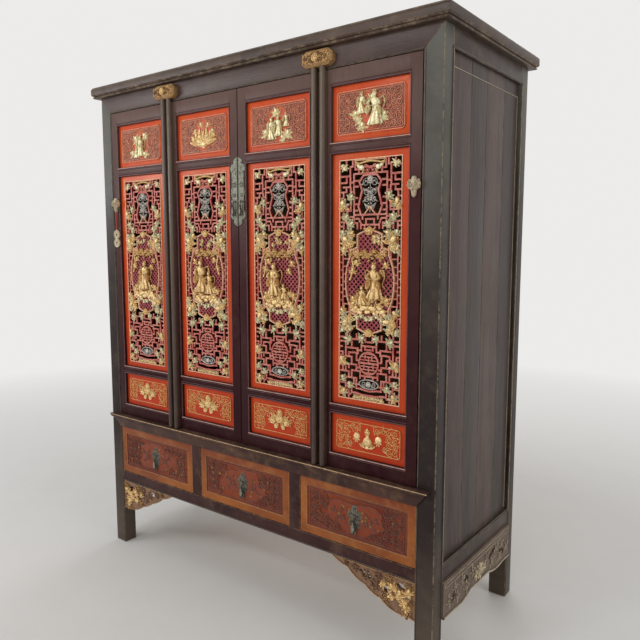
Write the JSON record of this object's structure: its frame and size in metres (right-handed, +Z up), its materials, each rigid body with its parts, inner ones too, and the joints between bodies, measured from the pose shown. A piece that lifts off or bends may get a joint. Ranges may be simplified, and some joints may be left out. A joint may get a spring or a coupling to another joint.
{
  "type": "wedding cabinet",
  "caption": "Tall lacquered cabinet with pivoted openwork doors above drawers, on square legs with carved spandrels.",
  "frame": {"origin": "on the floor under the middle of the cabinet", "axes": "+Z up, the doors and drawers face -Y, +X to the right as one looks at the front"},
  "size_m": [1.618, 0.696, 1.956],
  "materials": {
    "black_lacquer": "worn black-brown lacquer",
    "red_lacquer": "vermilion lacquer with gilt relief",
    "openwork_lacquer": "red lacquered openwork with gilt carving",
    "gilt_carving": "worn gilding on carved wood",
    "drawer_lacquer": "brown-orange lacquer",
    "bare_wood": "unfinished aged wood",
    "back_boards": "thin dark lacquer on boards",
    "dark_bronze": "darkened bronze",
    "lock_metal": "grey-green tarnished brass",
    "pale_carving": "pale carved wood",
    "red_cord": "twisted red cord"
  },
  "bodies": {
    "case": {"back_panels": "back_boards", "back_posts": "black_lacquer", "back_rails": "black_lacquer", "bottom_rail": "black_lacquer", "cabinet_floor": "bare_wood", "cap": "black_lacquer", "drawer_dividers": "black_lacquer", "drawer_floor": "bare_wood", "drawer_guides": "bare_wood", "frieze_rail": "black_lacquer", "hinge_bracket_left": "gilt_carving", "hinge_bracket_right": "gilt_carving", "post_front_left": "black_lacquer", "post_front_right": "black_lacquer", "shelf": "bare_wood", "shelf_bearers": "bare_wood", "side_apron_left": "black_lacquer", "side_apron_right": "black_lacquer", "side_panel_left": "black_lacquer", "side_panel_right": "black_lacquer", "side_rails": "black_lacquer", "sill": "black_lacquer", "spandrel_left": "gilt_carving", "spandrel_right": "gilt_carving"},
    "door_1": {"door_1_bottom_panel": "red_lacquer", "door_1_frame": "black_lacquer", "door_1_lattice": "openwork_lacquer", "door_1_pull": "pale_carving", "door_1_top_panel": "red_lacquer", "pendant_cord": "red_cord", "pendant": "gilt_carving"},
    "door_2": {"door_2_bottom_panel": "red_lacquer", "door_2_frame": "black_lacquer", "door_2_lattice": "openwork_lacquer", "door_2_top_panel": "red_lacquer", "lock_plate_2": "lock_metal"},
    "door_3": {"door_3_bottom_panel": "red_lacquer", "door_3_frame": "black_lacquer", "door_3_lattice": "openwork_lacquer", "door_3_top_panel": "red_lacquer", "lock_plate_3": "lock_metal"},
    "door_4": {"door_4_bottom_panel": "red_lacquer", "door_4_frame": "black_lacquer", "door_4_lattice": "openwork_lacquer", "door_4_pull": "pale_carving", "door_4_top_panel": "red_lacquer"},
    "lock_drop_2": {"lock_drop_2": "lock_metal"},
    "lock_drop_3": {"lock_drop_3": "lock_metal"},
    "drawer_1": {"drawer_1_front": "drawer_lacquer", "drawer_1_box": "bare_wood", "drawer_1_pull_plate": "dark_bronze"},
    "drawer_1_pull": {"drawer_1_pull": "dark_bronze"},
    "drawer_2": {"drawer_2_front": "drawer_lacquer", "drawer_2_box": "bare_wood", "drawer_2_pull_plate": "dark_bronze"},
    "drawer_2_pull": {"drawer_2_pull": "dark_bronze"},
    "drawer_3": {"drawer_3_front": "drawer_lacquer", "drawer_3_box": "bare_wood", "drawer_3_pull_plate": "dark_bronze"},
    "drawer_3_pull": {"drawer_3_pull": "dark_bronze"}
  },
  "joints": [
    {"name": "door_1_hinge", "type": "hinge", "parent": "case", "child": "door_1", "pos_m": [-0.376, -0.3305, 0.6], "axis": [0, 0, 1], "range_deg": [0, 90]},
    {"name": "door_2_hinge", "type": "hinge", "parent": "case", "child": "door_2", "pos_m": [-0.343, -0.3305, 0.6], "axis": [0, 0, 1], "range_deg": [-90, 0]},
    {"name": "door_3_hinge", "type": "hinge", "parent": "case", "child": "door_3", "pos_m": [0.343, -0.3305, 0.6], "axis": [0, 0, 1], "range_deg": [0, 90]},
    {"name": "door_4_hinge", "type": "hinge", "parent": "case", "child": "door_4", "pos_m": [0.376, -0.3305, 0.6], "axis": [0, 0, 1], "range_deg": [-90, 0]},
    {"name": "drawer_1_slide", "type": "slide", "parent": "case", "child": "drawer_1", "axis": [0, -1, 0], "range_m": [0, 0.42]},
    {"name": "drawer_2_slide", "type": "slide", "parent": "case", "child": "drawer_2", "axis": [0, -1, 0], "range_m": [0, 0.42]},
    {"name": "drawer_3_slide", "type": "slide", "parent": "case", "child": "drawer_3", "axis": [0, -1, 0], "range_m": [0, 0.42]},
    {"name": "lock_drop_2_swing", "type": "hinge", "parent": "door_2", "child": "lock_drop_2", "pos_m": [-0.0173, -0.329, 1.46], "axis": [1, 0, 0], "range_deg": [-50, 0]},
    {"name": "lock_drop_3_swing", "type": "hinge", "parent": "door_3", "child": "lock_drop_3", "pos_m": [0.0173, -0.329, 1.46], "axis": [1, 0, 0], "range_deg": [-50, 0]},
    {"name": "drawer_1_pull_swing", "type": "hinge", "parent": "drawer_1", "child": "drawer_1_pull", "pos_m": [-0.49533, -0.324, 0.44154], "axis": [1, 0, 0], "range_deg": [-80, 0]},
    {"name": "drawer_2_pull_swing", "type": "hinge", "parent": "drawer_2", "child": "drawer_2_pull", "pos_m": [0, -0.324, 0.44154], "axis": [1, 0, 0], "range_deg": [-80, 0]},
    {"name": "drawer_3_pull_swing", "type": "hinge", "parent": "drawer_3", "child": "drawer_3_pull", "pos_m": [0.49533, -0.324, 0.44154], "axis": [1, 0, 0], "range_deg": [-80, 0]}
  ]
}
